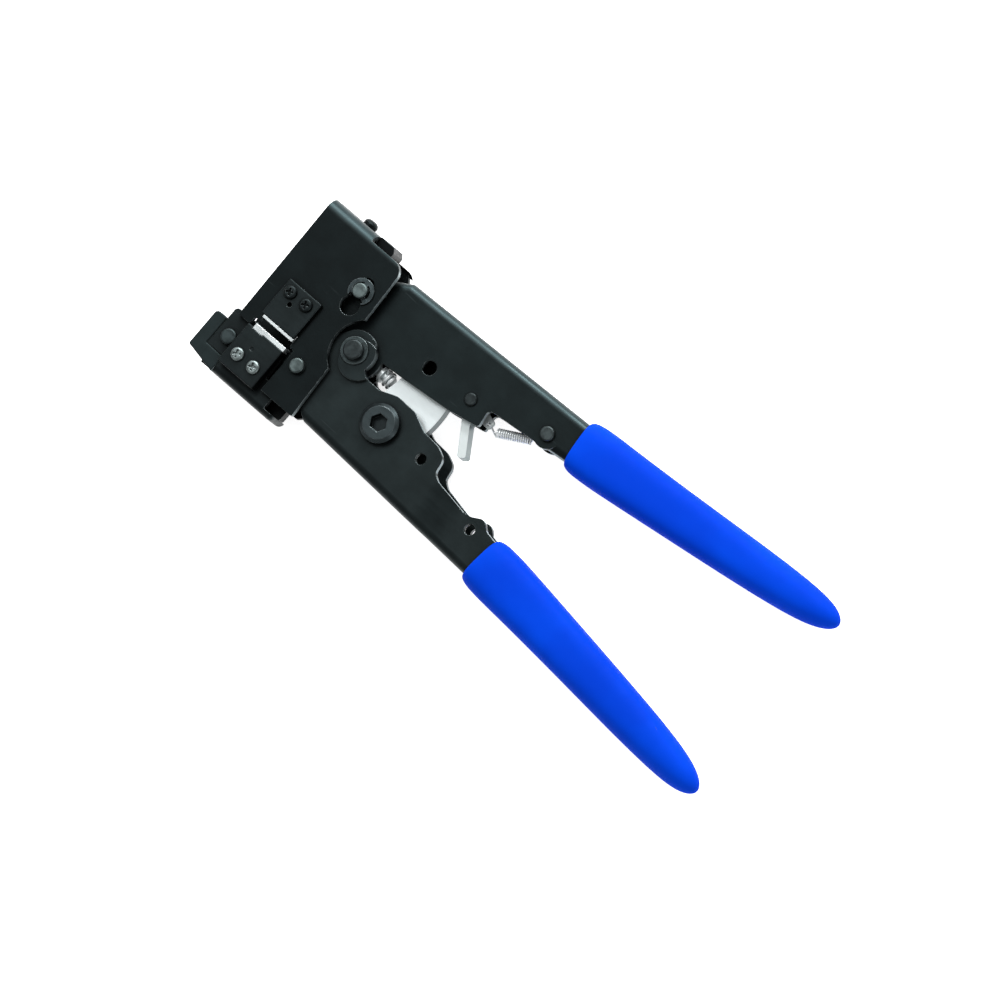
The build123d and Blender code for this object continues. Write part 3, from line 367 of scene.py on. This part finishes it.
# distance along the grip, half width, half thickness, sideways lean of the centre
GRIP_MOUTH = (  # the skin turns in here, round the tang
    (4.0, 7.9, 5.75, 0.0),
    (0.6, 8.0, 5.85, 0.0),
)
GRIP_STATIONS = (
    (0.15, 8.1, 6.2, 0.05),
    (-0.25, 8.7, 6.7, 0.05),
    (0.3, 9.2, 7.1, 0.05),
    (1.5, 9.65, 7.4, 0.0),
    (3.2, 9.9, 7.55, 0.0),
    (5.6, 10.0, 7.6, 0.0),
    (10.0, 10.05, 7.6, -0.1),
    (18.0, 9.75, 7.55, -0.2),
    (28.0, 9.4, 7.5, -0.25),
    (42.0, 8.95, 7.4, -0.25),
    (56.0, 8.55, 7.25, -0.2),
    (70.0, 8.15, 7.0, -0.1),
    (84.0, 7.6, 6.7, 0.0),
    (94.0, 6.95, 6.25, 0.1),
    (101.0, 6.15, 5.6, 0.2),
    (106.0, 5.1, 4.7, 0.3),
    (109.5, 3.7, 3.5, 0.35),
    (111.6, 2.1, 2.0, 0.35),
    (112.4, 0.7, 0.7, 0.35),
)
ELLIPSE_FROM = 104  # from here to the tip the section is an ellipse
BOXED_LENGTH = 60  # over this length before that, a rounded box turns into the ellipse
ELLIPSE_POWER, BOX_POWER = 2.0, 1.3  # exponent of an ellipse, and what a rounded box adds


def grip_ring(along, half_width, half_depth, lean, side):
    """One ring of a grip: a rounded box that comes nearer to an ellipse towards the tip."""
    boxed = min(1.0, max(0.0, (ELLIPSE_FROM - along) / BOXED_LENGTH))
    power = ELLIPSE_POWER + BOX_POWER * boxed
    ring = []
    for step in range(RING_POINTS):
        angle = 2 * math.pi * step / RING_POINTS
        c, s = math.cos(angle), math.sin(angle)
        size = (abs(c) ** power + abs(s) ** power) ** (-1 / power)
        across = half_width * size * c + lean
        up = half_depth * size * s
        x = GRIP_START.x + along * math.cos(GRIP_TURN) - across * math.sin(GRIP_TURN)
        y = GRIP_START.y + along * math.sin(GRIP_TURN) + across * math.cos(GRIP_TURN)
        ring.append((x * MM, side * y * MM, (MID_Z + up) * MM))
    return ring


def make_grip(name, side):
    """Dipped grip: its skin turns in at the near end and closes on the tang."""
    rings = [grip_ring(*station, side) for station in GRIP_MOUTH + GRIP_STATIONS]
    points = [point for ring in rings for point in ring]
    faces = []
    for first in range(0, len(points) - RING_POINTS, RING_POINTS):
        for step in range(RING_POINTS):
            a, b = first + step, first + (step + 1) % RING_POINTS
            faces.append((a, b, b + RING_POINTS, a + RING_POINTS))
    faces.append(tuple(range(len(points) - RING_POINTS, len(points))))
    faces.append(tuple(reversed(range(RING_POINTS))))
    thing = make_mesh(name, points, faces, BLUE)
    mend_normals(thing)
    smooth = thing.modifiers.new("smooth", "SUBSURF")
    smooth.levels = 2
    smooth.render_levels = 2
    return thing


for grip_name, side, body in (("upper_grip", 1, "upper_arm"), ("lower_grip", -1, "lower_arm")):
    skin = make_grip(f"{grip_name}_skin", side)
    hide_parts(grip_name)
    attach(skin, body)


# ---------------------------------------------------------------- springs
def wire(name, points, radius_mm):
    """Round wire along a list of points in millimetres, as a mesh."""
    curve = bpy.data.curves.new(name, "CURVE")
    curve.dimensions = "3D"
    curve.bevel_depth = radius_mm * MM
    curve.bevel_resolution = 3
    curve.use_fill_caps = True
    line = curve.splines.new("POLY")
    line.points.add(len(points) - 1)
    for point, place in zip(line.points, points):
        point.co = (place[0] * MM, place[1] * MM, place[2] * MM, 1)
    path = add_object(name + "_path", curve)
    bpy.context.view_layer.update()
    shaped = path.evaluated_get(bpy.context.evaluated_depsgraph_get())
    mesh = bpy.data.meshes.new_from_object(shaped)
    bpy.data.objects.remove(path)
    mesh.name = name
    mesh.materials.clear()
    mesh.materials.append(WIRE)
    shade_smooth(mesh)
    thing = add_object(name, mesh)
    return thing


def coil(start, end, radius, turns, steps=24, phase=0.0):
    """Points of a coil from start to end, with so many steps to a turn."""
    start, end = Vector(start), Vector(end)
    along = (end - start).normalized()
    across = along.cross(OUT).normalized()
    up = across.cross(along)
    total = int(turns * steps)
    points = []
    for step in range(total + 1):
        part = step / total
        angle = 2 * math.pi * turns * part + phase
        centre = start.lerp(end, part)
        points.append(centre + radius * (math.cos(angle) * across + math.sin(angle) * up))
    return points


def arc_points(centre, a, b, radius, start, end, steps=14):
    """Points of an arc in the plane of the unit vectors a and b, between two angles."""
    made = []
    for step in range(steps + 1):
        angle = math.radians(start + (end - start) * step / steps)
        made.append(centre + radius * (math.cos(angle) * a + math.sin(angle) * b))
    return made


def beside_pivot(x, y):
    """Point on the middle plane, measured from the main pivot."""
    return Vector((PIVOT_X + x, y, MID_Z))


PAWL_EAR = beside_pivot(51.0, 10.8)
SPRING_PIN = beside_pivot(71.1, 21.5)
PAWL_COIL_FROM, PAWL_COIL_TO = beside_pivot(55.4, 10.5), beside_pivot(66.0, 16.0)
PAWL_COIL_R, PAWL_COIL_PITCH, PAWL_WIRE_R = 1.5, 0.8, 0.33
PAWL_HOOK_R, PAWL_LOOP_R = 1.15, 2.15  # hook through the ear, loop round the pin

RATCHET_COIL_FROM, RATCHET_COIL_TO = beside_pivot(11.7, 0), beside_pivot(15.0, 0)
RATCHET_COIL_R, RATCHET_TURNS, RATCHET_PHASE, RATCHET_WIRE_R = 2.45, 2.0, 2.4, 0.6

RETURN_LOW, RETURN_HIGH = 22.55, 28.05  # y of the ends of the spring's middle line
RETURN_COIL_R, RETURN_TURNS, RETURN_WIRE_R = 2.4, 3.5, 0.5


def pawl_spring_path():
    """Fine tension spring with a hook through the pawl's ear and a loop round its pin."""
    turns = (PAWL_COIL_TO - PAWL_COIL_FROM).length / PAWL_COIL_PITCH
    body = coil(PAWL_COIL_FROM, PAWL_COIL_TO, PAWL_COIL_R, turns, steps=18)
    out = (PAWL_COIL_FROM - PAWL_EAR).normalized()
    hook = arc_points(PAWL_EAR, out, OUT, PAWL_HOOK_R, 200, 10)
    away = (SPRING_PIN - PAWL_COIL_TO).normalized()
    loop_start = PAWL_COIL_TO + away * PAWL_COIL_PITCH
    loop = arc_points(SPRING_PIN, -away, away.cross(OUT), PAWL_LOOP_R, 20, 330, steps=22)
    return hook + body + [loop_start] + loop


pawl_coil = wire("pawl_spring_coil", pawl_spring_path(), PAWL_WIRE_R)
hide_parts("pawl_spring")
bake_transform(pawl_coil)

ratchet_path = coil(
    RATCHET_COIL_FROM, RATCHET_COIL_TO, RATCHET_COIL_R, RATCHET_TURNS, phase=RATCHET_PHASE
)
ratchet_coil = wire("ratchet_spring_coil", ratchet_path, RATCHET_WIRE_R)
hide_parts("ratchet_spring")
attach(ratchet_coil, "lower_arm")

return_path = coil((0, RETURN_LOW, MID_Z), (0, RETURN_HIGH, MID_Z), RETURN_COIL_R, RETURN_TURNS)
return_coil = wire("return_spring_coil", return_path, RETURN_WIRE_R)
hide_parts("return_spring")
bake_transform(return_coil)


# ---------------------------------------------------------------- stage
FLOOR_HALF = 4.0  # half the width of the floor, in metres
FLOOR_DROP = 0.4  # how far the floor lies under the tool


def make_floor():
    low = -FLOOR_DROP * MM
    corners = ((-1, -1), (1, -1), (1, 1), (-1, 1))
    points = [(x * FLOOR_HALF, y * FLOOR_HALF, low) for x, y in corners]
    return make_mesh("floor", points, [(0, 1, 2, 3)], floor_paint("floor_paint"))


make_floor()

world = bpy.data.worlds.new("studio")
world.use_nodes = True
sky = world.node_tree.nodes["Background"]
sky.inputs["Color"].default_value = (1.0, 1.0, 1.0, 1)
sky.inputs["Strength"].default_value = 0.50
bpy.context.scene.world = world

# ---------------------------------------------------------------- camera
# The camera's right, up and backwards directions in the shared frame.
RIGHT = Vector((0.7147, 0.6499, -0.2586)).normalized()
BACK = RIGHT.cross(Vector((-0.6198, 0.7598, 0.1964))).normalized()
UP = BACK.cross(RIGHT)
LOOK_AT = Vector((83.23, -6.15, MID_Z)) * MM
VIEW_WIDTH = 339.9 * MM  # width seen at the object
LENS, SENSOR = 1200, 36  # a very long lens, which shows the tool nearly without perspective

camera_data = bpy.data.cameras.new("camera")
camera_data.lens = LENS
camera_data.sensor_width = SENSOR
camera_data.clip_start, camera_data.clip_end = 0.05, 50
camera = add_object("camera", camera_data)
turned = Matrix((RIGHT, UP, BACK)).transposed().to_4x4()
camera.matrix_world = Matrix.Translation(LOOK_AT + BACK * (VIEW_WIDTH * LENS / SENSOR)) @ turned
bpy.context.scene.camera = camera
bpy.context.scene.view_settings.view_transform = "Standard"


# ---------------------------------------------------------------- lights
LIGHT_DISTANCE = 0.9  # metres, for a direction of length 1
LIGHTS = (  # name, direction from the object, width and height in metres, watts
    ("key", UP * 0.9 - RIGHT * 0.35 + BACK * 0.75, (0.7, 0.5), 7),
    ("top", UP * 0.92 + BACK * 0.39 + RIGHT * 0.17, (0.9, 0.14), 11),
    ("rim", RIGHT * 0.57 - UP * 0.53 + BACK * 0.58, (0.4, 0.4), 1.5),
)


def area_light(name, direction, size, power):
    """Rectangular lamp that stands off in a direction and faces the object."""
    light = bpy.data.lights.new(name, "AREA")
    light.shape = "RECTANGLE"
    light.size, light.size_y = size
    light.energy = power
    thing = add_object(name, light)
    thing.location = LOOK_AT + direction * LIGHT_DISTANCE
    thing.rotation_mode = "QUATERNION"
    thing.rotation_quaternion = (LOOK_AT - thing.location).to_track_quat("-Z", "Y")


for lamp in LIGHTS:
    area_light(*lamp)
